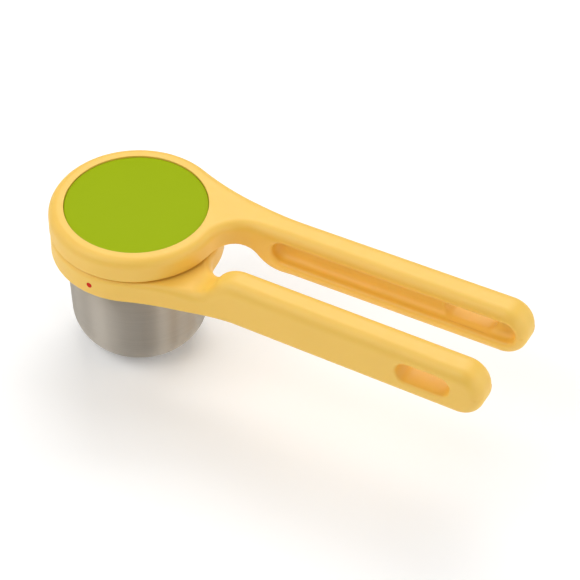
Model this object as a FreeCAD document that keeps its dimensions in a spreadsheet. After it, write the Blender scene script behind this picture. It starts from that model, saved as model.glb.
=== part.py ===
"""Twist-action potato ricer: two handles on one vertical press axis.

The lower handle ends in a ring that carries a perforated steel basket. The upper handle ends in a
round head that carries a grooved barrel. Three guide pins in the lower ring run in the barrel's
helical grooves, so turning the upper handle drives the barrel and its press plate up and down.
The model is in the closed position, with the plate at the bottom of the basket and both handles
side by side. Millimetres, +Z up the press axis, +X along the handles, origin at the centre of the
basket's flat bottom.
"""
import FreeCAD, Part
import math
import os
import re
import Sketcher

Vector = FreeCAD.Vector
UP = Vector(0, 0, 1)
ORIGIN = Vector(0, 0, 0)

# alias, value in millimetres, degrees or a count
SIZES = [
    # small gaps and overruns that many pieces share
    ("overrun", 1.0),
    ("hole_gap", 0.15),
    ("end_gap", 0.2),
    ("head_radius", 51.0),
    ("head_top", 100.0),
    ("head_base", 85.0),
    ("edge_round", 6.0),
    ("ring_radius", 50.6),
    ("ring_top", 83.8),
    ("ring_base", 68.5),
    ("ledge_top", 72.5),
    ("ledge_bore", 42.9),
    ("ring_bore", 47.6),
    # grips, measured from the axis; the pair widens slightly towards the tips
    ("grip_height", 31.0),
    ("upper_reach", 239.5),
    ("upper_inner_root", 14.5),
    ("upper_inner_tip", 15.9),
    ("upper_outer_root", 33.8),
    ("upper_outer_tip", 36.5),
    ("lower_reach", 238.6),
    ("lower_inner_root", 16.0),
    ("lower_inner_tip", 17.7),
    ("lower_outer_root", 34.8),
    ("lower_outer_tip", 38.6),
    ("outer_blend", 180.0),
    ("inner_blend", 20.0),
    ("tip_round", 14.75),
    ("upper_step_start", 55.0),
    ("upper_step_end", 88.0),
    ("lower_step_start", 54.0),
    ("lower_step_end", 83.0),
    ("step_reach", 70.0),
    # finger groove on the inner side of each grip, and the hanging slot through its outer wall
    ("groove_start", 80.0),
    ("groove_end", 233.5),
    ("groove_round", 7.3),
    ("upper_groove_back", 23.5),
    ("lower_groove_back", 25.1),
    ("groove_drop", 14.6),
    ("slot_start", 186.5),
    ("slot_end", 219.7),
    ("slot_round", 6.9),
    ("slot_through", 45.0),
    # cover disc and the space under it
    ("cover_radius", 41.9),
    ("cover_thick", 3.1),
    ("cover_gap", 0.4),
    ("web_top", 92.5),
    ("web_base", 89.0),
    ("web_space", 36.0),
    ("seal_radius", 39.2),
    ("seal_section", 0.78),
    ("seal_groove", 1.6),
    ("seal_groove_half", 1.0),
    ("peg_circle", 33.0),
    ("peg_radius", 2.0),
    ("peg_end", 90.5),
    ("cover_bevel_low", 0.6),
    ("cover_bevel_top", 0.4),
    # basket
    ("basket_flat", 14.4),
    ("basket_corner", 26.0),
    ("basket_mouth", 42.4),
    ("basket_wall", 0.8),
    ("flange_radius", 47.2),
    ("hole_radius", 1.5),
    ("hole_pitch", 5.4),
    ("hole_rings", 5.0),
    # gasket, collar, pins
    ("gasket_bore", 43.0),
    ("gasket_thick", 1.0),
    ("collar_radius", 47.4),
    ("collar_bore", 39.0),
    ("collar_top", 83.5),
    ("pin_level", 79.1),
    ("pin_radius", 3.0),
    ("pin_angle", 90.0),
    ("pin_inset", 0.4),
    ("screw_run", 0.05),
    ("collar_screw_circle", 44.9),
    ("collar_screw_shank", 1.2),
    ("collar_screw_head", 2.1),
    ("collar_screw_end", 69.5),
    ("collar_sink", 2.0),
    ("collar_head_recess", 0.3),
    # barrel
    ("barrel_radius", 38.2),
    ("barrel_bore", 33.0),
    ("barrel_base", 30.0),
    ("barrel_top", 88.9),
    ("top_ledge_bore", 22.0),
    ("top_ledge_base", 83.9),
    ("low_ledge_bore", 26.0),
    ("low_ledge_base", 34.1),
    ("low_ledge_top", 38.1),
    ("helix_radius", 38.5),
    ("helix_groove", 3.6),
    ("helix_lead", 84.0),
    ("helix_turn", 0.64),
    ("ledge_taper", 4.0),
    ("socket_gap", 0.5),
    ("barrel_screw_circle", 28.0),
    ("barrel_screw_shank", 1.95),
    ("barrel_screw_head", 3.4),
    ("barrel_screw_end", 82.9),
    ("barrel_screw_rise", 2.4),
    # barrel floor, bush, pivot
    ("floor_radius", 32.8),
    ("floor_base", 30.1),
    ("floor_top", 34.0),
    ("floor_screw_circle", 29.5),
    ("floor_screw_shank", 1.45),
    ("floor_screw_head", 2.6),
    ("floor_screw_end", 37.7),
    ("floor_sink", 2.0),
    ("floor_head_recess", 0.1),
    ("bush_radius", 6.0),
    ("bush_bore", 4.15),
    ("bush_flange", 9.0),
    ("bush_top", 35.5),
    ("pivot_shank", 4.0),
    ("pivot_head", 8.0),
    ("pivot_end", 16.5),
    ("pivot_hole_end", 16.0),
    ("pivot_head_base", 35.9),
    ("pivot_head_top", 40.5),
    # press plate and its carrier
    ("plate_base", 2.0),
    ("plate_thick", 1.0),
    ("plate_rim", 29.0),
    ("plate_notch", 4.0),
    ("carrier_gap", 0.05),
    ("carrier_hub", 10.0),
    ("carrier_hub_top", 28.5),
    ("carrier_floor", 5.0),
    ("carrier_ring_bore", 30.0),
    ("carrier_ring", 34.0),
    ("carrier_ring_base", 21.5),
    ("carrier_ring_top", 24.5),
    ("rib_thick", 2.5),
    ("rib_angle", 23.0),
    ("rivet_circle", 14.0),
    ("rivet_shank", 1.5),
    ("rivet_head", 2.6),
    ("rivet_angle", 30.0),
    ("rivet_rise_low", 0.5),
    ("rivet_rise_top", 1.0),
    ("washer_radius", 9.5),
    ("washer_bore", 5.0),
    ("washer_thick", 1.2),
    # alignment dot on the ring's front
    ("dot_radius", 1.7),
    ("dot_level", 76.0),
    ("dot_depth", 1.2),
    ("dot_angle", -92.8),
]

doc = FreeCAD.newDocument("TwistRicer")
sheet = doc.addObject("Spreadsheet::Sheet", "Sizes")
for row, (alias, value) in enumerate(SIZES, start=1):
    sheet.set(f"A{row}", alias.replace("_", " "))
    sheet.set(f"B{row}", str(value))
    sheet.setAlias(f"B{row}", alias)
doc.recompute()


def size(alias):
    """A driving dimension, read back from the sheet."""
    return float(getattr(sheet, alias))


# ---------------------------------------------------------------- sketches and features

def origin_plane(body, role):
    """The body's own origin plane or axis with the given role."""
    return next(item for item in body.Origin.OriginFeatures if item.Role == role)


def new_body(label):
    body = doc.addObject("PartDesign::Body", label)
    body.Label = label
    return body


def new_sketch(body, name, role, height=None):
    """An empty sketch on an origin plane, moved along the plane's normal by an expression."""
    sketch = body.newObject("Sketcher::SketchObject", name)
    sketch.AttachmentSupport = [(origin_plane(body, role), "")]
    sketch.MapMode = "FlatFace"
    if height is not None:
        sketch.setExpression("AttachmentOffset.Base.z", height)
    return sketch


def words(expression):
    """Put the sheet's name in front of each alias in a size expression."""
    names = {alias for alias, _ in SIZES}

    def place(match):
        word = match.group()
        return f"Sizes.{word}" if word in names else word

    return re.sub(r"[a-z_]+", place, expression)


def number(sketch, expression):
    """The value of a size expression."""
    result = sketch.evalExpression(words(expression))
    return float(getattr(result, "Value", result))


def bind(sketch, constraint, expression):
    """Add a dimension to a sketch and drive it from the sheet."""
    index = sketch.addConstraint(constraint)
    sketch.setExpression(f"Constraints[{index}]", words(expression))


def draw_outline(sketch, corners):
    """A closed outline of (x, y) or (x, y, bend) corners, all size expressions.

    A bend is the radius of the arc that leads from its corner to the next one: a plain radius
    turns left, and one that starts with "right" turns right.
    """
    points = [Vector(number(sketch, c[0]), number(sketch, c[1]), 0) for c in corners]
    ends = []
    for index, corner in enumerate(corners):
        start, end = points[index], points[(index + 1) % len(points)]
        if len(corner) == 2:
            line = sketch.addGeometry(Part.LineSegment(start, end), False)
            ends.append((line, 1, 2))
            continue
        clockwise = corner[2].startswith("right ")
        bend = corner[2].removeprefix("right ")
        radius = number(sketch, bend)
        chord = end - start
        side = -1 if clockwise else 1
        normal = Vector(-chord.y, chord.x, 0).normalize() * side
        centre = (start + end) * 0.5 + normal * math.sqrt(radius ** 2 - chord.Length ** 2 / 4)
        first, last = (end, start) if clockwise else (start, end)
        first_angle = math.atan2(first.y - centre.y, first.x - centre.x)
        last_angle = math.atan2(last.y - centre.y, last.x - centre.x)
        circle = Part.Circle(centre, UP, radius)
        arc = sketch.addGeometry(Part.ArcOfCircle(circle, first_angle, last_angle), False)
        bind(sketch, Sketcher.Constraint("Radius", arc, radius), bend)
        ends.append((arc, 2, 1) if clockwise else (arc, 1, 2))
    for index, (edge, begin, _) in enumerate(ends):
        before = ends[index - 1]
        sketch.addConstraint(Sketcher.Constraint("Coincident", before[0], before[2], edge, begin))
        place = points[index]
        across = Sketcher.Constraint("DistanceX", -1, 1, edge, begin, place.x)
        upward = Sketcher.Constraint("DistanceY", -1, 1, edge, begin, place.y)
        bind(sketch, across, corners[index][0])
        bind(sketch, upward, corners[index][1])


def draw_circle(sketch, x, y, radius):
    """A circle placed and sized by expressions."""
    centre = Vector(number(sketch, x), number(sketch, y), 0)
    span = number(sketch, radius)
    circle = sketch.addGeometry(Part.Circle(centre, UP, span), False)
    bind(sketch, Sketcher.Constraint("Radius", circle, span), radius)
    bind(sketch, Sketcher.Constraint("DistanceX", -1, 1, circle, 3, centre.x), x)
    bind(sketch, Sketcher.Constraint("DistanceY", -1, 1, circle, 3, centre.y), y)


def pad(body, sketch, length):
    feature = body.newObject("PartDesign::Pad", f"{sketch.Name}_pad")
    feature.Profile = sketch
    feature.setExpression("Length", words(length))
    sketch.Visibility = False
    doc.recompute()
    return feature


def pocket(body, sketch, length=None, flip=False, both_ways=False):
    """Cut a sketch through everything, or to a length; the volume has to fall."""
    before = body.Shape.Volume
    feature = body.newObject("PartDesign::Pocket", f"{sketch.Name}_cut")
    feature.Profile = sketch
    feature.Reversed = flip
    feature.Midplane = both_ways
    if length is None:
        feature.Type = "ThroughAll"
    else:
        feature.setExpression("Length", words(length))
    doc.recompute()
    if body.Shape.Volume >= before:
        raise RuntimeError(f"{feature.Name} cut nothing")
    return feature


def turn(body, corners, name, cut=False):
    """Turn a half outline, in radius and height, about the press axis."""
    sketch = new_sketch(body, name, "XZ_Plane")
    draw_outline(sketch, corners)
    kind = "PartDesign::Groove" if cut else "PartDesign::Revolution"
    feature = body.newObject(kind, f"{name}_turned")
    feature.Profile = sketch
    feature.ReferenceAxis = (sketch, ["V_Axis"])
    feature.Angle = 360
    doc.recompute()
    return feature


def repeat(body, feature, count, angle=360):
    """Repeat a feature round the press axis."""
    pattern = body.newObject("PartDesign::PolarPattern", f"{feature.Name}_ring")
    pattern.Originals = [feature]
    pattern.Axis = (origin_plane(body, "Z_Axis"), [""])
    pattern.Angle = angle
    pattern.Occurrences = count
    body.Tip = pattern
    doc.recompute()
    return pattern


def round_edges(body, chosen, radius):
    """Fillet every edge of the body's present shape for which chosen(edge) is true."""
    base = body.Tip
    names = [f"Edge{index}" for index, edge in enumerate(base.Shape.Edges, start=1) if chosen(edge)]
    if not names:
        raise RuntimeError(f"no edge to round on {body.Label}")
    feature = body.newObject("PartDesign::Fillet", f"{body.Name}_round_{len(body.Group)}")
    feature.Base = (base, names)
    feature.setExpression("Radius", words(radius))
    doc.recompute()
    return feature


def drill(body, name, circle, radius, base, top, count, first_angle="0"):
    """A ring of equal upright holes between two heights."""
    sketch = new_sketch(body, name, "XY_Plane", words(top))
    draw_circle(sketch, f"{circle}*cos({first_angle})", f"{circle}*sin({first_angle})", radius)
    return repeat(body, pocket(body, sketch, f"{top}-({base})"), count)


# ---------------------------------------------------------------- the two handle mouldings

TOUCHING = 0.01
NEARBY = 2.5
# an arc of exactly half a turn has no unique circle, so its radius is a hair over half the chord
HALF_TURN = 1.0001


def is_upright(edge, x, y):
    """True for a vertical edge near a place in plan."""
    box = edge.BoundBox
    upright = max(box.XLength, box.YLength) < TOUCHING
    return upright and math.hypot(box.XMin - x, box.YMin - y) < NEARBY


def make_handle(label, name, side, radius, base, top, step, flip):
    """One moulding: a round end and a grip, blended in plan, stepped from thin to full height.

    name is the handle's word in the sheet's aliases. side is 1 for the grip on +Y and -1 for the
    one on -Y. step is (start, end, round end's face, grip's face): the round end is thinner than
    the grip, and an S-curve joins the two levels.
    """
    body = new_body(label)
    disc = new_sketch(body, f"{label}_disc", "XY_Plane", words(base))
    draw_circle(disc, "0", "0", radius)
    pad(body, disc, f"{top}-({base})")
    grip = new_sketch(body, f"{label}_grip", "XY_Plane", words(base))
    sign = "" if side > 0 else "0-"
    plan = [
        ("0", f"{sign}{name}_inner_root"),
        (f"{name}_reach", f"{sign}{name}_inner_tip"),
        (f"{name}_reach", f"{sign}{name}_outer_tip"),
        ("0", f"{sign}{name}_outer_root"),
    ]
    draw_outline(grip, plan)
    pad(body, grip, f"{top}-({base})")

    round_end = size(radius)
    outer = size(f"{name}_outer_root")
    inner = size(f"{name}_inner_root")
    outer_x = math.sqrt(round_end ** 2 - outer ** 2)
    inner_x = math.sqrt(round_end ** 2 - inner ** 2)
    round_edges(body, lambda edge: is_upright(edge, outer_x, side * outer), "outer_blend")
    round_edges(body, lambda edge: is_upright(edge, inner_x, side * inner), "inner_blend")

    def is_tip(edge):
        box = edge.BoundBox
        at_tip = abs(box.XMin - size(f"{name}_reach")) < TOUCHING
        return at_tip and max(box.XLength, box.ZLength) < TOUCHING

    round_edges(body, is_tip, "tip_round")
    high = number(disc, top)
    round_edges(body, lambda edge: abs(edge.BoundBox.ZMin - high) < TOUCHING, "edge_round")

    start, end, thin_face, full_face = step
    rise = f"({full_face}-({thin_face}))"
    bend = f"(({end}-{start})^2+{rise}^2)/(4*{rise}*{'1' if side < 0 else '(0-1)'})"
    middle = (f"({start}+{end})/2", f"(({thin_face})+({full_face}))/2")
    beyond = f"({full_face})+{rise}"
    first, second = (bend, f"right {bend}") if side < 0 else (f"right {bend}", bend)
    profile = new_sketch(body, f"{label}_step", "XZ_Plane")
    curve = [
        (start, thin_face, first),
        (middle[0], middle[1], second),
        (end, full_face),
        (end, beyond),
        ("0-step_reach", beyond),
        ("0-step_reach", thin_face),
    ]
    draw_outline(profile, curve)
    pocket(body, profile, both_ways=True)

    level = f"({top})-groove_drop"
    for cut, begin, finish, bow, depth in (
        ("groove", "groove_start", "groove_end", "groove_round", f"{name}_groove_back"),
        ("slot", "slot_start", "slot_end", "slot_round", "slot_through"),
    ):
        opening = new_sketch(body, f"{label}_{cut}", "XZ_Plane")
        near = f"{begin}+{bow}"
        far = f"{finish}-{bow}"
        half_round = f"{bow}*{HALF_TURN}"
        draw_outline(opening, [
            (near, f"{level}-{bow}"),
            (far, f"{level}-{bow}", half_round),
            (finish, level, half_round),
            (far, f"{level}+{bow}"),
            (near, f"{level}+{bow}", half_round),
            (begin, level, half_round),
        ])
        pocket(body, opening, depth, flip=flip)
    return body


upper_base = "head_top-grip_height"
upper = make_handle("upper_handle", "upper", 1, "head_radius", upper_base, "head_top",
                    ("upper_step_start", "upper_step_end", "head_base", upper_base), False)
seat = "head_top-cover_thick"
turn(upper, [
    ("0", "web_top"),
    ("web_space", "web_top"),
    ("web_space", seat),
    ("seal_radius-seal_groove_half", seat),
    ("seal_radius-seal_groove_half", f"{seat}-seal_groove"),
    ("seal_radius+seal_groove_half", f"{seat}-seal_groove"),
    ("seal_radius+seal_groove_half", seat),
    ("cover_radius+cover_gap", seat),
    ("cover_radius+cover_gap", "head_top+overrun"),
    ("0", "head_top+overrun"),
], "cover_seat", cut=True)
turn(upper, [
    ("0", "head_base-overrun"),
    ("barrel_radius+socket_gap", "head_base-overrun"),
    ("barrel_radius+socket_gap", "web_base"),
    ("0", "web_base"),
], "barrel_socket", cut=True)
drill(upper, "web_holes", "barrel_screw_circle", "barrel_screw_shank+hole_gap", "web_base-overrun", "web_top", 4)
drill(upper, "peg_holes", "peg_circle", "peg_radius+hole_gap", "peg_end-end_gap", "web_top", 4, "45")

lower_top = "ring_base+grip_height"
lower = make_handle("lower_handle", "lower", -1, "ring_radius", "ring_base", lower_top,
                    ("lower_step_start", "lower_step_end", "ring_top", lower_top), True)
turn(lower, [
    ("0", "ring_base-overrun"),
    ("ledge_bore", "ring_base-overrun"),
    ("ledge_bore", "ledge_top"),
    ("ring_bore", "ledge_top"),
    ("ring_bore", "ring_top+overrun"),
    ("0", "ring_top+overrun"),
], "ring_bore_profile", cut=True)
drill(lower, "ledge_holes", "collar_screw_circle", "collar_screw_shank+screw_run",
      "collar_screw_end-end_gap", "ledge_top", 6)

# ---------------------------------------------------------------- the basket and what clamps it

flange_base = "ledge_top+gasket_thick"
flange_top = "ledge_top+gasket_thick+basket_wall"
basket = new_body("basket")
turn(basket, [
    ("0", "0"),
    ("basket_flat", "0", "basket_corner"),
    ("basket_flat+basket_corner", "basket_corner"),
    ("basket_mouth", flange_base),
    ("flange_radius", flange_base),
    ("flange_radius", flange_top),
    ("basket_mouth-basket_wall", flange_top),
    ("basket_flat+basket_corner-basket_wall", "basket_corner", "right basket_corner-basket_wall"),
    ("basket_flat", "basket_wall"),
    ("0", "basket_wall"),
], "basket_profile")
for ring in range(1, int(size("hole_rings")) + 1):
    holes = new_sketch(basket, f"drain_hole_{ring}", "XY_Plane", "Sizes.basket_corner")
    draw_circle(holes, f"hole_pitch*{ring}", "0", "hole_radius")
    repeat(basket, pocket(basket, holes, "basket_corner*2"), 6 * ring)
drill(basket, "flange_holes", "collar_screw_circle", "collar_screw_shank+hole_gap", flange_base, flange_top, 6)

gasket = new_body("basket_gasket")
turn(gasket, [
    ("gasket_bore", "ledge_top"),
    ("flange_radius", "ledge_top"),
    ("flange_radius", flange_base),
    ("gasket_bore", flange_base),
], "gasket_profile")
drill(gasket, "gasket_holes", "collar_screw_circle", "collar_screw_shank+hole_gap", "ledge_top", flange_base, 6)

collar = new_body("thread_collar")
turn(collar, [
    ("collar_bore", flange_top),
    ("collar_radius", flange_top),
    ("collar_radius", "collar_top"),
    ("collar_bore", "collar_top"),
], "collar_profile")
head_seat = "collar_top-collar_sink"
drill(collar, "collar_holes", "collar_screw_circle", "collar_screw_shank+hole_gap", flange_top, "collar_top", 6)
drill(collar, "collar_sinks", "collar_screw_circle", "collar_screw_head+hole_gap", head_seat, "collar_top", 6)


def turned(angle, shape):
    """A copy of a shape turned about the press axis."""
    copy = shape.copy()
    copy.rotate(ORIGIN, UP, angle)
    return copy


def ring_of(shape, count, first=0.0):
    """A group of equal solids round the press axis."""
    return Part.makeCompound([turned(first + 360.0 * index / count, shape) for index in range(count)])


def add_feature(label, shape):
    """A sub-part whose shape is worked out here."""
    feature = doc.addObject("Part::Feature", label)
    feature.Label = label
    feature.Shape = shape
    return feature


pin_axis = Vector(1, 0, 0)
pin_start = Vector(size("helix_radius"), 0, size("pin_level"))
pin_length = size("collar_radius") - size("pin_inset") - size("helix_radius")
pin_ball = Part.makeSphere(size("pin_radius"), pin_start)
pin = Part.makeCylinder(size("pin_radius"), pin_length, pin_start, pin_axis).fuse(pin_ball)
add_feature("guide_pins", ring_of(pin.removeSplitter(), 3, size("pin_angle")))

pin_hole = Part.makeCylinder(size("pin_radius") + size("screw_run"), size("collar_radius"),
                             Vector(size("collar_bore") - size("overrun"), 0, size("pin_level")), pin_axis)
pin_holes = add_feature("pin_hole_tools", ring_of(pin_hole, 3, size("pin_angle")))
collar_cut = doc.addObject("Part::Cut", "collar_with_pin_holes")
collar_cut.Base = collar
collar_cut.Tool = pin_holes


RECESS_DEPTH = 0.6
RECESS_WIDTH = 0.3
RECESS_LENGTH = 1.1


def make_screw(shank, head, end, seat_height, head_height, circle):
    """A plain screw with a cross recess in its head, standing on its circle at +X.

    The recess is RECESS_DEPTH of the head's height deep; its bars are RECESS_WIDTH and
    RECESS_LENGTH of the head's radius.
    """
    outline = [
        Vector(0, 0, end),
        Vector(shank, 0, end),
        Vector(shank, 0, seat_height),
        Vector(head, 0, seat_height),
        Vector(head, 0, head_height),
        Vector(0, 0, head_height),
    ]
    face = Part.Face(Part.makePolygon(outline + [outline[0]]))
    screw = face.revolve(ORIGIN, UP, 360)
    recess_height = abs(head_height - seat_height) * RECESS_DEPTH
    points_down = head_height > seat_height
    recess_base = head_height - recess_height if points_down else head_height
    width, length = head * RECESS_WIDTH, head * RECESS_LENGTH
    for size_x, size_y in ((width, length), (length, width)):
        bar = Part.makeBox(size_x, size_y, recess_height, Vector(-size_x / 2, -size_y / 2, recess_base))
        screw = screw.cut(bar)
    screw.translate(Vector(circle, 0, 0))
    return screw


collar_screw = make_screw(size("collar_screw_shank"), size("collar_screw_head"), size("collar_screw_end"),
                          size("collar_top") - size("collar_sink"),
                          size("collar_top") - size("collar_head_recess"), size("collar_screw_circle"))
add_feature("collar_screws", ring_of(collar_screw, 6))

dot_way = Vector(math.cos(math.radians(size("dot_angle"))), math.sin(math.radians(size("dot_angle"))), 0)
dot_base = dot_way * (size("ring_radius") - size("dot_depth")) + UP * size("dot_level")
add_feature("alignment_dot", Part.makeCylinder(size("dot_radius"), size("dot_depth"), dot_base, dot_way))
dot_hole = add_feature("dot_hole_tool", Part.makeCylinder(
    size("dot_radius") + size("screw_run"), size("dot_depth") + size("overrun"), dot_base, dot_way))
lower_cut = doc.addObject("Part::Cut", "lower_handle_with_dot_hole")
lower_cut.Base = lower
lower_cut.Tool = dot_hole

# ---------------------------------------------------------------- cover, seal and barrel

cover = new_body("cover_disc")
turn(cover, [
    ("0", seat),
    ("cover_radius-cover_bevel_low", seat),
    ("cover_radius", f"{seat}+cover_bevel_low"),
    ("cover_radius", "head_top-cover_bevel_top"),
    ("cover_radius-cover_bevel_top", "head_top"),
    ("0", "head_top"),
], "cover_profile")
pegs = new_sketch(cover, "cover_peg", "XY_Plane", "Sizes.peg_end")
draw_circle(pegs, "peg_circle*cos(45)", "peg_circle*sin(45)", "peg_radius")
repeat(cover, pad(cover, pegs, f"{seat}-peg_end"), 4)

seal = doc.addObject("Part::Torus", "cover_seal")
seal.Label = "cover_seal"
seal.setExpression("Radius1", "Sizes.seal_radius")
seal.setExpression("Radius2", "Sizes.seal_section")
seal.setExpression("Placement.Base.z", words(f"{seat}-seal_groove/2"))

barrel = new_body("helix_barrel")
turn(barrel, [
    ("barrel_bore", "barrel_base"),
    ("barrel_radius", "barrel_base"),
    ("barrel_radius", "barrel_top"),
    ("top_ledge_bore", "barrel_top"),
    ("top_ledge_bore", "top_ledge_base"),
    ("barrel_bore", "top_ledge_base-ledge_taper"),
    ("barrel_bore", "low_ledge_top+ledge_taper"),
    ("low_ledge_bore", "low_ledge_top"),
    ("low_ledge_bore", "low_ledge_base"),
    ("barrel_bore", "low_ledge_base"),
], "barrel_profile")
drill(barrel, "top_ledge_holes", "barrel_screw_circle", "barrel_screw_shank+screw_run",
      "top_ledge_base-ledge_taper", "barrel_top", 4)
drill(barrel, "low_ledge_holes", "floor_screw_circle", "floor_screw_shank+screw_run",
      "low_ledge_base-overrun", "low_ledge_top+ledge_taper", 4)

lead = size("helix_lead")
helix = Part.makeHelix(lead, lead * size("helix_turn"), size("helix_radius"))
helix_section = Part.Wire(Part.Circle(
    Vector(size("helix_radius"), 0, 0), helix.Edges[0].tangentAt(helix.Edges[0].FirstParameter),
    size("helix_groove")).toShape())
groove = Part.Wire(helix.Edges).makePipeShell([helix_section], True, True)
# the groove's upper end is at the pin, and it runs out through the barrel's lower end
groove_end = Part.makeSphere(size("helix_groove"), Vector(size("helix_radius"), 0, 0))
groove_end.rotate(ORIGIN, UP, 360 * size("helix_turn"))
groove_end.translate(UP * lead * size("helix_turn"))
groove = groove.fuse(groove_end)
groove.rotate(ORIGIN, UP, -360 * size("helix_turn"))
groove.translate(UP * (size("pin_level") - lead * size("helix_turn")))
groove_tool = add_feature("barrel_groove_tools", ring_of(groove, 3, size("pin_angle")))
barrel_cut = doc.addObject("Part::Cut", "barrel_with_grooves")
barrel_cut.Base = barrel
barrel_cut.Tool = groove_tool

barrel_screw = make_screw(size("barrel_screw_shank"), size("barrel_screw_head"), size("barrel_screw_end"),
                          size("web_top"), size("web_top") + size("barrel_screw_rise"), size("barrel_screw_circle"))
add_feature("barrel_screws", ring_of(barrel_screw, 4))

floor = new_body("barrel_floor")
turn(floor, [
    ("bush_radius+screw_run", "floor_base"),
    ("floor_radius", "floor_base"),
    ("floor_radius", "floor_top"),
    ("bush_radius+screw_run", "floor_top"),
], "floor_profile")
drill(floor, "floor_holes", "floor_screw_circle", "floor_screw_shank+hole_gap", "floor_base-overrun", "floor_top", 4)
drill(floor, "floor_sinks", "floor_screw_circle", "floor_screw_head+hole_gap", "floor_base-overrun",
      "floor_base+floor_sink", 4)

floor_screw = make_screw(size("floor_screw_shank"), size("floor_screw_head"), size("floor_screw_end"),
                         size("floor_base") + size("floor_sink"),
                         size("floor_base") + size("floor_head_recess"), size("floor_screw_circle"))
add_feature("floor_screws", ring_of(floor_screw, 4))

bush = new_body("pivot_bush")
turn(bush, [
    ("bush_bore", "floor_base"),
    ("bush_radius", "floor_base"),
    ("bush_radius", "floor_top"),
    ("bush_flange", "floor_top"),
    ("bush_flange", "bush_top"),
    ("bush_bore", "bush_top"),
], "bush_profile")

# ---------------------------------------------------------------- press plate, carrier and pivot

plate = new_body("press_plate")
turn(plate, [
    ("0", "plate_base"),
    ("basket_flat", "plate_base", "basket_corner-plate_base"),
    ("basket_flat+basket_corner-plate_base", "basket_corner"),
    ("basket_flat+basket_corner-plate_base", "plate_rim"),
    ("basket_flat+basket_corner-plate_base-plate_thick", "plate_rim"),
    ("basket_flat+basket_corner-plate_base-plate_thick", "basket_corner",
     "right basket_corner-plate_base-plate_thick"),
    ("basket_flat", "plate_base+plate_thick"),
    ("0", "plate_base+plate_thick"),
], "plate_profile")
notch = new_sketch(plate, "rim_notch", "XY_Plane", "Sizes.plate_rim")
draw_circle(notch, "0", "helix_radius", "plate_notch")
repeat(plate, pocket(plate, notch, "plate_rim-basket_corner/2"), 3)
drill(plate, "plate_rivet_holes", "rivet_circle", "rivet_shank+screw_run", "plate_base-overrun",
      "plate_base+plate_thick", 3, "rivet_angle")

carrier = new_body("plate_carrier")
carrier_base = "plate_base+plate_thick+carrier_gap"
turn(carrier, [
    ("0", carrier_base),
    ("basket_flat", carrier_base),
    ("basket_flat", "carrier_floor"),
    ("carrier_hub", "carrier_floor"),
    ("carrier_hub", "carrier_hub_top"),
    ("pivot_shank+screw_run", "carrier_hub_top"),
    ("pivot_shank+screw_run", "pivot_hole_end"),
    ("0", "pivot_hole_end"),
], "carrier_profile")
rib_bend = "(basket_corner-plate_base-plate_thick-carrier_gap)"
rib = new_sketch(carrier, "carrier_rib", "XZ_Plane")
draw_outline(rib, [
    ("carrier_hub-overrun", carrier_base),
    ("basket_flat", carrier_base, rib_bend),
    (f"basket_flat+{rib_bend}*cos(rib_angle)", f"basket_corner-{rib_bend}*sin(rib_angle)"),
    ("carrier_ring", "carrier_ring_top"),
    ("carrier_hub-overrun", "carrier_ring_top"),
])
rib_pad = pad(carrier, rib, "rib_thick")
rib_pad.Midplane = True
repeat(carrier, rib_pad, 6)
turn(carrier, [
    ("carrier_ring_bore", "carrier_ring_base"),
    ("carrier_ring", "carrier_ring_base"),
    ("carrier_ring", "carrier_ring_top"),
    ("carrier_ring_bore", "carrier_ring_top"),
], "carrier_ring_profile")
drill(carrier, "carrier_rivet_holes", "rivet_circle", "rivet_shank+screw_run", carrier_base,
      "carrier_floor", 3, "rivet_angle")

rivet_low = size("plate_base") - size("rivet_rise_low")
rivet_high = size("carrier_floor") + size("rivet_rise_top")
rivet_outline = [
    Vector(0, 0, rivet_low),
    Vector(size("rivet_head"), 0, rivet_low),
    Vector(size("rivet_head"), 0, size("plate_base")),
    Vector(size("rivet_shank"), 0, size("plate_base")),
    Vector(size("rivet_shank"), 0, size("carrier_floor")),
    Vector(size("rivet_head"), 0, size("carrier_floor")),
    Vector(size("rivet_head"), 0, rivet_high),
    Vector(0, 0, rivet_high),
]
rivet = Part.Face(Part.makePolygon(rivet_outline + [rivet_outline[0]])).revolve(ORIGIN, UP, 360)
rivet.translate(Vector(size("rivet_circle"), 0, 0))
add_feature("plate_rivets", ring_of(rivet, 3, size("rivet_angle")))

washer = new_body("thrust_washer")
turn(washer, [
    ("washer_bore", "carrier_hub_top"),
    ("washer_radius", "carrier_hub_top"),
    ("washer_radius", "carrier_hub_top+washer_thick"),
    ("washer_bore", "carrier_hub_top+washer_thick"),
], "washer_profile")

pivot_screw = make_screw(size("pivot_shank"), size("pivot_head"), size("pivot_end"),
                         size("pivot_head_base"), size("pivot_head_top"), 0)
add_feature("pivot_screw", pivot_screw)

# ---------------------------------------------------------------- check and write

doc.recompute()
final = {
    "lower_handle": lower_cut,
    "thread_collar": collar_cut,
    "helix_barrel": barrel_cut,
}
for label in (
    "basket", "basket_gasket", "guide_pins", "collar_screws", "alignment_dot", "upper_handle",
    "cover_disc", "cover_seal", "barrel_screws", "barrel_floor", "floor_screws", "pivot_bush",
    "press_plate", "plate_carrier", "plate_rivets", "thrust_washer", "pivot_screw",
):
    final[label] = doc.getObjectsByLabel(label)[0]

for item in doc.Objects:
    if {"Invalid", "Error"} & set(item.State):
        raise RuntimeError(f"{item.Label} failed: {item.State}")
for label, item in final.items():
    if item.Shape.isNull() or not item.Shape.isValid():
        raise RuntimeError(f"{label} has no valid shape")

os.makedirs("parts", exist_ok=True)
for label, item in sorted(final.items()):
    item.Shape.exportStep(f"parts/{label}.step")
    box = item.Shape.BoundBox
    print(f"{label}: {len(item.Shape.Solids)} solid(s), {item.Shape.Volume / 1000:.2f} cm3, "
          f"z {box.ZMin:.1f} to {box.ZMax:.1f}")
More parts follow.
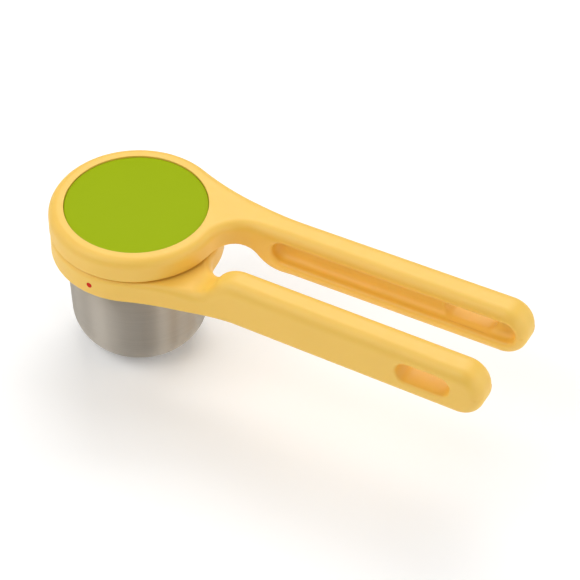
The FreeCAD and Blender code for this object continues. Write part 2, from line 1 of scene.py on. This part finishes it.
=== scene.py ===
"""Looks of the twist-action ricer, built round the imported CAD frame.

The two handle mouldings and the cover are meshed here from rounded shape functions, so that the
blends, steps, groove lips and rims have fillets. The other pieces keep their CAD shape. Every
surface gets a procedural material. Shape functions are in millimetres; everything given to Blender
is in metres.
"""
import math

import bpy
import numpy as np
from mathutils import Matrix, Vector


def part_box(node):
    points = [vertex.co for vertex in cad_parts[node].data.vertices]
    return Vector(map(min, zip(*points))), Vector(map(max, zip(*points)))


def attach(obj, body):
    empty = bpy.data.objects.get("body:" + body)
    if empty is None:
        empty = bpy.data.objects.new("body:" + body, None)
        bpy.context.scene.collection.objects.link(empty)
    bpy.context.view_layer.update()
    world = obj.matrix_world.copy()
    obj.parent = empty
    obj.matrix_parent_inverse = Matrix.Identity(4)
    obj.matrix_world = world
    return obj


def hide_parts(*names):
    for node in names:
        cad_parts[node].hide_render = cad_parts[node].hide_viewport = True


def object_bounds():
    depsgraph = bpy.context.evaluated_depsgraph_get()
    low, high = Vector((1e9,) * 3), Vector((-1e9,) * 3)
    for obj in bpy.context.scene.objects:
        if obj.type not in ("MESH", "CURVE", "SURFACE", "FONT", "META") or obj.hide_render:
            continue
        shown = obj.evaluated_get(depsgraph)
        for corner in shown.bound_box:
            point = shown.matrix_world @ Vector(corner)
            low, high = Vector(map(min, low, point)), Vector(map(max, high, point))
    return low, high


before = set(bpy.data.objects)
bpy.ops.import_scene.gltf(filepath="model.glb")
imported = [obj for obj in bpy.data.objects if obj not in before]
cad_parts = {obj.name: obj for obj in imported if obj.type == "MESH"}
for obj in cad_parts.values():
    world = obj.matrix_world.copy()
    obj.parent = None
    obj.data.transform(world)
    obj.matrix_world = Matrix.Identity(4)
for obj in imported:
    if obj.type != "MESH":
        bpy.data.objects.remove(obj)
cad_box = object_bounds()
scene = bpy.context.scene
MM = 0.001


# ---------------------------------------------------------------- node materials

# a noise texture's values lie mostly between these
NOISE_LOW = 0.3
NOISE_HIGH = 0.7


class Finish:
    """A procedural material: one Principled shader and the node chains that feed it."""

    def __init__(self, name, **sockets):
        self.material = bpy.data.materials.new(name)
        self.material.use_nodes = True
        self.tree = self.material.node_tree
        self.shader = self.tree.nodes["Principled BSDF"]
        for socket, value in sockets.items():
            self.shader.inputs[socket.replace("_", " ")].default_value = value
        self.place = self.add("ShaderNodeTexCoord").outputs["Object"]

    def add(self, kind, inputs=(), **settings):
        """A node with its settings made and its inputs filled by values or by other outputs."""
        node = self.tree.nodes.new(kind)
        for setting, value in settings.items():
            setattr(node, setting, value)
        for key, value in dict(inputs).items():
            if isinstance(value, bpy.types.NodeSocket):
                self.tree.links.new(value, node.inputs[key])
            else:
                node.inputs[key].default_value = value
        return node

    def feed(self, socket, output):
        self.tree.links.new(output, self.shader.inputs[socket])

    def noise(self, scale, detail, place=None):
        settings = {"Vector": place or self.place, "Scale": scale, "Detail": detail}
        return self.add("ShaderNodeTexNoise", settings).outputs["Fac"]

    def spread(self, value, low, high):
        """A noise value mapped from its usual range to low-high."""
        inputs = {0: value, 1: NOISE_LOW, 2: NOISE_HIGH, 3: low, 4: high}
        return self.add("ShaderNodeMapRange", inputs).outputs[0]

    def colours(self, value, first, second):
        """Two colours mixed by a value."""
        mix = self.add("ShaderNodeMix", {0: value, 6: first, 7: second}, data_type="RGBA")
        return mix.outputs[2]

    def relief(self, layers):
        """Bump from (height, depth in metres) layers, one on another."""
        normal = None
        for height, depth in layers:
            inputs = {"Height": height, "Distance": depth, "Strength": 1.0}
            if normal is not None:
                inputs["Normal"] = normal
            normal = self.add("ShaderNodeBump", inputs).outputs[0]
        self.feed("Normal", normal)


def linear(red, green, blue):
    """An 8-bit display colour as linear values."""
    def channel(value):
        share = value / 255
        return share / 12.92 if share <= 0.04045 else ((share + 0.055) / 1.055) ** 2.4
    return (channel(red), channel(green), channel(blue), 1.0)


# noise scales, in cycles a metre, and depths of relief, in metres
MOTTLE_SCALE = 38
GLOSS_SCALE = 210
WAVE_SCALE = 45
WAVE_DEPTH = 0.00006
GRAIN_SCALE = 2600
RING_SCALE = (25, 25, 2600)
RING_DEPTH = 0.0000008
STEEL_UNEVEN = 0.03


def moulded(name, first, second, roughness, grain=0.000004, uneven=0.04, **sockets):
    """Injection-moulded plastic: faint flow mottling, a fine spark texture and uneven gloss."""
    finish = Finish(name, **sockets)
    mottle = finish.noise(MOTTLE_SCALE, detail=4)
    finish.feed("Base Color", finish.colours(finish.spread(mottle, 0, 1), first, second))
    gloss = finish.noise(GLOSS_SCALE, detail=3)
    finish.feed("Roughness", finish.spread(gloss, roughness - uneven, roughness + uneven))
    wave = finish.noise(WAVE_SCALE, detail=1)
    finish.relief([(wave, WAVE_DEPTH), (finish.noise(GRAIN_SCALE, detail=2), grain)])
    return finish.material


def brushed(name, first, second, roughness, **sockets):
    """Steel brushed round the press axis: fine rings of uneven height, gloss and tone."""
    finish = Finish(name, Metallic=1.0, Anisotropic_Rotation=0.25, **sockets)
    plan = finish.add("ShaderNodeVectorMath", {0: finish.place, 1: (1, 1, 0)}, operation="MULTIPLY")
    radius = finish.add("ShaderNodeVectorMath", {0: plan.outputs[0]}, operation="LENGTH").outputs["Value"]
    split = finish.add("ShaderNodeSeparateXYZ", {0: finish.place})
    run = finish.add("ShaderNodeMath", {0: radius, 1: split.outputs[2]}, operation="ADD").outputs[0]
    joined = finish.add("ShaderNodeCombineXYZ", {0: split.outputs[0], 1: split.outputs[1], 2: run})
    streaks = finish.add("ShaderNodeMapping", {0: joined.outputs[0], 3: RING_SCALE}).outputs[0]
    line = finish.noise(1, detail=3, place=streaks)
    finish.feed("Base Color", finish.colours(finish.spread(line, 0, 1), first, second))
    gloss = finish.spread(line, roughness - STEEL_UNEVEN, roughness + STEEL_UNEVEN)
    finish.feed("Roughness", gloss)
    finish.feed("Tangent", finish.add("ShaderNodeTangent", direction_type="RADIAL", axis="Z").outputs[0])
    finish.relief([(line, RING_DEPTH)])
    return finish.material


YELLOW = moulded("handle_yellow", (0.90, 0.556, 0.080, 1), (0.88, 0.542, 0.075, 1), 0.52,
                 Specular_IOR_Level=0.8,
                 Subsurface_Weight=0.12, Subsurface_Radius=(0.004, 0.002, 0.0005), Subsurface_Scale=1.0)
GREEN = moulded("cover_green", (0.300, 0.408, 0.0, 1), (0.293, 0.400, 0.0, 1), 0.36,
                grain=0.0000005, uneven=0.01,
                Specular_IOR_Level=0.12, Specular_Tint=(1.0, 0.85, 0.0, 1))
WHITE_PLASTIC = moulded("barrel_white", linear(225, 224, 218), linear(218, 217, 210), 0.42)
GREY_PLASTIC = moulded("bearing_grey", linear(206, 204, 196), linear(198, 196, 188), 0.35)
RUBBER = moulded("seal_silicone", linear(212, 211, 206), linear(206, 205, 200), 0.6)
RED = moulded("mark_red", (0.62, 0.015, 0.0, 1), (0.59, 0.013, 0.0, 1), 0.5, grain=0.000002,
              Specular_IOR_Level=0.15)
STEEL = brushed("basket_steel", (0.51, 0.468, 0.408, 1), (0.475, 0.435, 0.378, 1), 0.55, Anisotropic=0.93)
PLATE_STEEL = brushed("plate_steel", (0.60, 0.58, 0.55, 1), (0.57, 0.55, 0.52, 1), 0.30, Anisotropic=0.6)
SCREW_STEEL = brushed("screw_steel", (0.62, 0.60, 0.57, 1), (0.59, 0.57, 0.54, 1), 0.25)

CAD_FINISHES = {
    "basket": STEEL,
    "basket_gasket": RUBBER,
    "thread_collar": WHITE_PLASTIC,
    "guide_pins": SCREW_STEEL,
    "collar_screws": SCREW_STEEL,
    "alignment_dot": RED,
    "press_plate": PLATE_STEEL,
    "plate_carrier": GREY_PLASTIC,
    "plate_rivets": SCREW_STEEL,
    "pivot_screw": SCREW_STEEL,
    "thrust_washer": GREY_PLASTIC,
    "cover_disc": GREEN,
    "cover_seal": RUBBER,
    "helix_barrel": WHITE_PLASTIC,
    "barrel_screws": SCREW_STEEL,
    "barrel_floor": WHITE_PLASTIC,
    "floor_screws": SCREW_STEEL,
    "pivot_bush": GREY_PLASTIC,
    "lower_handle": YELLOW,
    "upper_handle": YELLOW,
}


def paint(piece, material):
    """One material on the whole of a piece."""
    piece.data.materials.clear()
    piece.data.materials.append(material)


for node, finish in CAD_FINISHES.items():
    paint(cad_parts[node], finish)


# ---------------------------------------------------------------- shape functions, in millimetres
# A shape function is negative inside, zero on the surface and positive outside, and near the
# surface it is about the distance to it.

def both(first, second, radius):
    """What is inside both shapes, with the edge between them rounded."""
    corner = np.hypot(np.maximum(first + radius, 0), np.maximum(second + radius, 0))
    return np.minimum(np.maximum(first, second), -radius) + corner


def ramp(value, start, end, low, high):
    """Low before start, high after end and a smooth change between them."""
    share = np.clip((value - start) / (end - start), 0, 1)
    return low + (high - low) * share * share * (3 - 2 * share)


def lengthwise_slot(x, z, start, end, middle, half):
    """A slot with round ends that runs along X, seen from the side."""
    nearest = np.clip(x, start + half, end - half)
    return np.hypot(x - nearest, z - middle) - half


def blended(x, y, disc, disc_radius, edge, offset, tilt, blend):
    """The disc joined to all that lies on the inner side of one line, with a tangent arc between.

    The line passes x = 0 at offset and is turned by tilt; edge is the distance outside it.
    """
    normal = np.array([-math.sin(tilt), math.cos(tilt)]) * edge
    along = np.array([math.cos(tilt), math.sin(tilt)])
    outside = x * normal[0] + y * normal[1] - offset * normal[1]
    rise = blend + offset * normal[1]
    centre = along * math.sqrt((disc_radius + blend) ** 2 - rise ** 2) + normal * rise
    to_disc = -centre / np.linalg.norm(centre)
    to_line = -normal
    from_centre = (x - centre[0], y - centre[1])
    turn = np.sign(to_disc[0] * to_line[1] - to_disc[1] * to_line[0])
    after = (to_disc[0] * from_centre[1] - to_disc[1] * from_centre[0]) * turn > 0
    before = (from_centre[0] * to_line[1] - from_centre[1] * to_line[0]) * turn > 0
    plain = np.minimum(disc, np.maximum(outside, -x))
    return np.where(after & before, blend - np.hypot(*from_centre), plain)


def step(x, z, start, end, thin, full):
    """All that lies above an S-shaped step from the level thin down to the level full."""
    bend = ((end - start) ** 2 + (thin - full) ** 2) / (4 * (thin - full))
    first = bend - np.hypot(x - start, z - (thin - bend))
    second = np.hypot(x - end, z - (full + bend)) - bend
    middle_x, middle_z = (start + end) / 2, (thin + full) / 2
    run, rise = end - start, full - thin + 2 * bend
    past = run * (z - middle_z) - rise * (x - middle_x) < 0
    curve = np.where(past, second, first)
    return np.where(x < start, thin - z, np.where(x > end, full - z, curve))


# ---------------------------------------------------------------- contouring

EDGE_NUDGE = 0.3     # share of the way to a face's middle at which a corner's shading is taken
MARGIN = 1.5         # how far the grid goes past the shape
SEARCH_ROUNDS = 6    # narrowings of each crossing
NARROWEST = 0.02     # smallest step of a search, as a share of its span
STIFFNESS = 0.03     # how strongly a point is held to the middle of its crossings
SHADING_REACH = 0.05  # distance to each side over which a slope is taken for the shading


def slope(field, points, reach=0.02):
    """The unit direction in which a shape function rises at each point."""
    result = np.empty_like(points)
    for axis in range(3):
        shift = np.zeros(3)
        shift[axis] = reach
        result[:, axis] = field(*(points + shift).T) - field(*(points - shift).T)
    return result / np.maximum(np.linalg.norm(result, axis=1, keepdims=True), 1e-12)


def crossing_shares(field, near, span, near_value, far_value):
    """How far along a span from each near point the surface lies, as a share of the span."""
    below, above = np.zeros(len(near)), np.ones(len(near))
    share = near_value / (near_value - far_value)
    for _ in range(SEARCH_ROUNDS):
        found = field(*(near + span * share[:, None]).T)
        same = (found < 0) == (near_value < 0)
        below, above = np.where(same, share, below), np.where(same, above, share)
        near_value, far_value = np.where(same, found, near_value), np.where(same, far_value, found)
        part = near_value / (near_value - far_value + 1e-15)
        share = below + (above - below) * np.clip(part, NARROWEST, 1 - NARROWEST)
    return share


def crossings(field, value, low, pitch, axis):
    """Where the surface crosses the grid lines along one axis, and the four cells round each place."""
    inside = value < 0
    strides = np.array([value.shape[1] * value.shape[2], value.shape[2], 1])
    across, along = (axis + 1) % 3, (axis + 2) % 3
    first = [slice(1, -1)] * 3
    second = list(first)
    first[axis], second[axis] = slice(0, -1), slice(1, None)
    start = np.argwhere(inside[tuple(first)] != inside[tuple(second)])
    start[:, across] += 1
    start[:, along] += 1
    one_cell = np.zeros(3, int)
    one_cell[axis] = 1

    near = low + start * pitch
    span = one_cell * pitch
    share = crossing_shares(field, near, span, value[tuple(start.T)], value[tuple((start + one_cell).T)])

    corner = start @ strides
    around = np.stack([corner - strides[across] - strides[along], corner - strides[along],
                       corner, corner - strides[across]], axis=1)
    outward = inside[tuple(start.T)]
    around[~outward] = around[~outward][:, ::-1]
    return around, near + span * share[:, None]


def settled(places, normals, index):
    """One point for each cell, where the tangent planes at the cell's crossings meet."""
    count = np.bincount(index)
    middle = np.stack([np.bincount(index, places[:, k]) for k in range(3)], axis=1) / count[:, None]
    offset = places - middle[index]
    height = np.einsum("ij,ij->i", normals, offset)
    pulls = np.stack([np.bincount(index, normals[:, k] * height) for k in range(3)], axis=1)
    spread = np.empty((len(count), 3, 3))
    for i in range(3):
        for j in range(3):
            spread[:, i, j] = np.bincount(index, normals[:, i] * normals[:, j])
    spread += np.eye(3) * STIFFNESS
    return middle + np.linalg.solve(spread, pulls[:, :, None])[:, :, 0]


def contour(field, low, high, pitch):
    """The surface of a shape function as points and four-sided faces, by dual contouring.

    Each grid cell that the surface crosses gets one point, set where the surface's tangent planes
    at the crossings meet, so flats stay flat and sharp edges stay sharp.
    """
    counts = np.ceil((high - low) / pitch).astype(int) + 1
    axes = [low[axis] + pitch * np.arange(counts[axis]) for axis in range(3)]
    grid = np.meshgrid(*axes, indexing="ij", sparse=True)
    value = np.broadcast_to(field(*grid), counts)

    quads, places = zip(*(crossings(field, value, low, pitch, axis) for axis in range(3)))
    normals = [slope(field, place) for place in places]
    used, index = np.unique(np.concatenate(quads), return_inverse=True)
    index = index.reshape(-1)
    points = settled(np.repeat(np.concatenate(places), 4, axis=0),
                     np.repeat(np.concatenate(normals), 4, axis=0), index)
    cell_low = low + np.stack(np.unravel_index(used, counts), axis=1) * pitch
    return np.clip(points, cell_low, cell_low + pitch), index.reshape(-1, 4)


def meshed(name, field, low, high, pitch):
    """A mesh object of a shape function, shaded with its own slopes and kept between two corners."""
    points, quads = contour(field, low - MARGIN, high + MARGIN, pitch)
    points = np.clip(points, low, high)
    mesh = bpy.data.meshes.new(name)
    mesh.from_pydata((points * MM).tolist(), [], quads.tolist())
    mesh.update()
    corners = points[quads]
    middles = corners.mean(axis=1, keepdims=True)
    nudged = corners + (middles - corners) * EDGE_NUDGE
    normals = slope(field, nudged.reshape(-1, 3), SHADING_REACH)
    mesh.shade_smooth()
    mesh.normals_split_custom_set(normals.tolist())
    piece = bpy.data.objects.new(name, mesh)
    scene.collection.objects.link(piece)
    return piece


# ---------------------------------------------------------------- the handle mouldings and the cover

def limits(node):
    """A CAD node's box, in millimetres."""
    low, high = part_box(node)
    return np.array(low) / MM, np.array(high) / MM


upper_low, upper_high = limits("upper_handle")
lower_low, lower_high = limits("lower_handle")
cover_low, cover_high = limits("cover_disc")
dot_low, dot_high = limits("alignment_dot")

PITCH = 0.9          # grid pitch of the handles
FINE_PITCH = 0.7     # grid pitch of the cover

# grips: distances from the X axis to the inner and outer wall, each at the root and at the tip
UPPER_GRIP = ((14.5, 15.9), (33.8, 36.5))
LOWER_GRIP = ((16.0, 17.7), (34.8, 38.6))
OUTER_BLEND = 180.0
INNER_BLEND = 20.0
TIP_ROUND = 14.75

# the finger groove and the hanging slot: ranges along X, half heights, depths and edge radii
GROOVE = (80.0, 233.5)
GROOVE_HALF = 7.3
GROOVE_DEPTH = 8.0
GROOVE_DROP = 14.6
GROOVE_HOLLOW = 4.5
GROOVE_LIP = 2.4
SLOT = (186.5, 219.7)
SLOT_HALF = 6.9
SLOT_START = 20.0    # distance from the X axis at which the slot begins
SLOT_LIP = 1.6

# from the thin end to the full grip: the step's range along X, the ramps (start, end, first, last)
# of the radii of the low and high edges, and the range over which the line between the two shifts
UPPER_STEP = (55.0, 88.0)
UPPER_LOW_ROUND = (60, 95, 1.0, 6.5)
UPPER_HIGH_ROUND = (60, 95, 6.0, 7.5)
UPPER_SPLIT = (50, 80)
LOWER_STEP = (54.0, 83.0)
LOWER_LOW_ROUND = (45, 85, 1.8, 6.5)
LOWER_HIGH_ROUND = (30, 80, 3.5, 7.5)
LOWER_SPLIT = (50, 75)

# the head, the cover in its seat, and the room for the barrel below
HEAD_THICK = 15.0
COVER_THICK = 3.1
COVER_GAP = 0.15
COVER_CROWN = 0.9
COVER_EDGE = 0.5
SEAT_EDGE = 0.3
PEG_PLACE = 23.33    # distance of a peg from the axis along X and along Y
PEG_RADIUS = 2.0
PEG_EDGE = 0.4
SOCKET_RADIUS = 38.7
SOCKET_DROP = 11.0
WEB_DROP = 7.5
WEB_SPACE = 36.0

# the ring with the basket's ledge, and the hole for the red dot
RING_THICK = 15.3
RING_BORE = 47.6
RING_EDGE = 0.6
LEDGE_BORE = 42.9
LEDGE_THICK = 4.0
DOT_DEPTH = 1.2
DOT_RADIUS = 1.75


def moulding(x, y, z, side, low, high, radius, grip, thin_side, edge_round):
    """One handle: a round end and a grip, stepped from thin to full height, with its groove and slot.

    y is measured towards the grip. thin_side is the step's part of the shape, and edge_round the
    radius of the long edges at each place.
    """
    reach, base, top = high[0], low[2], high[2]
    y = y * side
    disc = np.hypot(x, y) - radius
    (inner_root, inner_tip), (outer_root, outer_tip) = grip
    outer_tilt = math.atan((outer_tip - outer_root) / reach)
    inner_tilt = math.atan((inner_tip - inner_root) / reach)
    outer = blended(x, y, disc, radius, 1, outer_root, outer_tilt, OUTER_BLEND)
    inner = blended(x, y, disc, radius, -1, inner_root, inner_tilt, INNER_BLEND)
    plan = np.maximum(outer, inner)

    middle = (base + top) / 2
    flat = (top - base) / 2 - TIP_ROUND
    past_x = np.maximum(x - reach + TIP_ROUND, 0)
    past_z = np.maximum(np.abs(z - middle) - flat, 0)
    tip = np.hypot(past_x, past_z) - TIP_ROUND
    profile = np.maximum(tip, thin_side)
    shape = both(plan, profile, edge_round)

    level = top - GROOVE_DROP
    mouth = lengthwise_slot(x, z, *GROOVE, level, GROOVE_HALF)
    groove = both(mouth, -inner - GROOVE_DEPTH, GROOVE_HOLLOW)
    shape = both(shape, -groove, GROOVE_LIP)
    slot = np.maximum(lengthwise_slot(x, z, *SLOT, level, SLOT_HALF), SLOT_START - y)
    return both(shape, -slot, SLOT_LIP)


def upper_field(x, y, z):
    """The upper handle: full grip, thin head with a seat for the cover and a socket for the barrel."""
    base, top = upper_low[2], upper_high[2]
    head_base = top - HEAD_THICK
    under = step(x, z, *UPPER_STEP, head_base, base)
    split = ramp(x, *UPPER_SPLIT, (head_base + top) / 2, (base + top) / 2)
    edge_round = np.where(z > split, ramp(x, *UPPER_HIGH_ROUND), ramp(x, *UPPER_LOW_ROUND))
    shape = moulding(x, y, z, 1, upper_low, upper_high, -upper_low[0], UPPER_GRIP, under, edge_round)
    radius = np.hypot(x, y)
    seat = np.maximum(radius - (cover_high[0] + COVER_GAP), top - COVER_THICK - z)
    shape = both(shape, -seat, SEAT_EDGE)
    shape = np.maximum(shape, -np.maximum(radius - WEB_SPACE, top - WEB_DROP - z))
    return np.maximum(shape, -np.maximum(radius - SOCKET_RADIUS, z - top + SOCKET_DROP))


def lower_field(x, y, z):
    """The lower handle: full grip and a thin ring with a ledge for the basket."""
    base, top = lower_low[2], lower_high[2]
    ring_top = base + RING_THICK
    over = step(x, -z, *LOWER_STEP, -ring_top, -top)
    split = ramp(x, *LOWER_SPLIT, (ring_top + base) / 2, (base + top) / 2)
    edge_round = np.where(z > split, ramp(x, *LOWER_HIGH_ROUND), ramp(x, *LOWER_LOW_ROUND))
    shape = moulding(x, y, z, -1, lower_low, lower_high, -lower_low[0], LOWER_GRIP, over, edge_round)
    radius = np.hypot(x, y)
    shape = both(shape, -np.maximum(radius - RING_BORE, base + LEDGE_THICK - z), RING_EDGE)
    shape = both(shape, LEDGE_BORE - radius, RING_EDGE)
    dot = (dot_low + dot_high) / 2
    way = dot[:2] / np.hypot(dot[0], dot[1])
    along = x * way[0] + y * way[1]
    off_axis = np.hypot(x * way[1] - y * way[0], z - dot[2])
    dot_hole = np.maximum(off_axis - DOT_RADIUS, -lower_low[0] - DOT_DEPTH - along)
    return np.maximum(shape, -dot_hole)


def cover_field(x, y, z):
    """The cover: a slightly crowned disc with four pegs below."""
    radius = np.hypot(x, y)
    reach, top = cover_high[0], cover_high[2]
    sphere = (reach ** 2 + COVER_CROWN ** 2) / (2 * COVER_CROWN)
    crown = np.sqrt(radius ** 2 + (z - top + sphere) ** 2) - sphere
    plate = both(both(crown, radius - reach, COVER_EDGE), top - COVER_THICK - z, COVER_EDGE)
    across = np.hypot(np.abs(x) - PEG_PLACE, np.abs(y) - PEG_PLACE)
    pegs = both(np.maximum(across - PEG_RADIUS, z - top + COVER_THICK), cover_low[2] - z, PEG_EDGE)
    return np.minimum(plate, pegs)


for name, field, body, node, slot, finish, pitch in (
    ("upper_moulding", upper_field, "upper_frame", "upper_handle", "handle_plastic", YELLOW, PITCH),
    ("lower_moulding", lower_field, "lower_frame", "lower_handle", "handle_plastic", YELLOW, PITCH),
    ("cover_moulding", cover_field, "upper_frame", "cover_disc", "cover_plastic", GREEN, FINE_PITCH),
):
    low, high = limits(node)
    piece = meshed(name, field, low, high, pitch)
    paint(piece, finish)
    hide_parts(node)
    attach(piece, body)

# ---------------------------------------------------------------- floor, light and camera

MIDDLE = (0.09, 0.0, 0.05)    # the point that the lights face
LIGHT_DISTANCE = 1.5
FLOOR_SIZE = 3.0
FLOOR_WHITE = (0.93, 0.93, 0.93, 1)
FLOOR_GLOW = 0.13
SKY_LIGHT = 0.15
SKY_SEEN = 0.9

# name, azimuth and elevation in degrees, width and height in metres, radiance
SOFTBOXES = (
    ("back_box", 203, 49, 1.2, 0.6, 4.1),
    ("back_high_box", 180, 70, 1.2, 0.6, 1.8),
    ("left_back_box", -110, 22, 0.5, 0.8, 1.0),
    ("left_box", -75, 25, 0.5, 0.8, 1.8),
    ("left_front_box", -38, 20, 0.6, 0.6, 1.9),
    ("left_top_box", -40, 52, 0.8, 0.8, 3.2),
    ("front_top_box", 5, 52, 0.9, 0.6, 0.9),
    ("right_front_box", 62, 20, 0.4, 0.6, 4.2),
    ("right_box", 98, 24, 0.6, 0.8, 2.6),
    ("right_back_box", 128, 22, 0.6, 0.8, 2.0),
)

CAMERA_AZIMUTH = 28.3
CAMERA_ELEVATION = 43.229
CAMERA_DISTANCE = 1.6762
CAMERA_TARGET = (0.11265, -0.02211)    # X and Y; its Z is the upper handle's top
LENS = 186.2
SENSOR_WIDTH = 36
VIEW_END = 20


def direction(azimuth, elevation):
    """The unit vector towards an azimuth and elevation in degrees, from the object."""
    turn, lift = math.radians(azimuth), math.radians(elevation)
    return Vector((math.sin(turn) * math.cos(lift), -math.cos(turn) * math.cos(lift), math.sin(lift)))


def place_at(piece, place, back):
    """Put a light or camera at a place with its back to a direction."""
    piece.location = place
    piece.rotation_mode = "QUATERNION"
    piece.rotation_quaternion = (-back).to_track_quat("-Z", "Y")
    scene.collection.objects.link(piece)
    return piece


def floor():
    """A plain pale floor under the basket, which gives off a little light to stay white."""
    mesh = bpy.data.meshes.new("floor")
    half = FLOOR_SIZE / 2
    level = cad_box[0][2]
    corners = [(-half, -half, level), (half, -half, level), (half, half, level), (-half, half, level)]
    mesh.from_pydata(corners, [], [(0, 1, 2, 3)])
    piece = bpy.data.objects.new("floor", mesh)
    scene.collection.objects.link(piece)
    finish = Finish("floor_white", Roughness=0.9, Specular_IOR_Level=0.1, Base_Color=FLOOR_WHITE,
                    Emission_Color=(1, 1, 1, 1), Emission_Strength=FLOOR_GLOW)
    paint(piece, finish.material)


def softbox(name, azimuth, elevation, width, height, radiance):
    """A rectangular light that faces the object; azimuth 0 is in front, on -Y, and 90 is on +X."""
    light = bpy.data.lights.new(name, "AREA")
    light.shape = "RECTANGLE"
    light.size = width
    light.size_y = height
    light.energy = radiance * math.pi * width * height
    back = direction(azimuth, elevation)
    place_at(bpy.data.objects.new(name, light), Vector(MIDDLE) + back * LIGHT_DISTANCE, back)


def sky():
    """A plain white surround, which is seen brighter behind the floor than it shines."""
    world = bpy.data.worlds.new("studio")
    world.use_nodes = True
    background = world.node_tree.nodes["Background"]
    background.inputs["Color"].default_value = (1, 1, 1, 1)
    path = world.node_tree.nodes.new("ShaderNodeLightPath")
    tone = world.node_tree.nodes.new("ShaderNodeMapRange")
    tone.inputs["To Min"].default_value = SKY_LIGHT
    tone.inputs["To Max"].default_value = SKY_SEEN
    world.node_tree.links.new(path.outputs["Is Camera Ray"], tone.inputs["Value"])
    world.node_tree.links.new(tone.outputs[0], background.inputs["Strength"])
    scene.world = world


def camera():
    """The scene's camera, which looks at the level of the upper handle's top."""
    data = bpy.data.cameras.new("camera")
    data.lens = LENS
    data.sensor_width = SENSOR_WIDTH
    data.clip_end = VIEW_END
    target = Vector((*CAMERA_TARGET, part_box("upper_handle")[1][2]))
    back = direction(CAMERA_AZIMUTH, CAMERA_ELEVATION)
    place = target + back * CAMERA_DISTANCE
    scene.camera = place_at(bpy.data.objects.new("camera", data), place, back)


floor()
sky()
for box in SOFTBOXES:
    softbox(*box)
camera()
scene.view_settings.view_transform = "Standard"
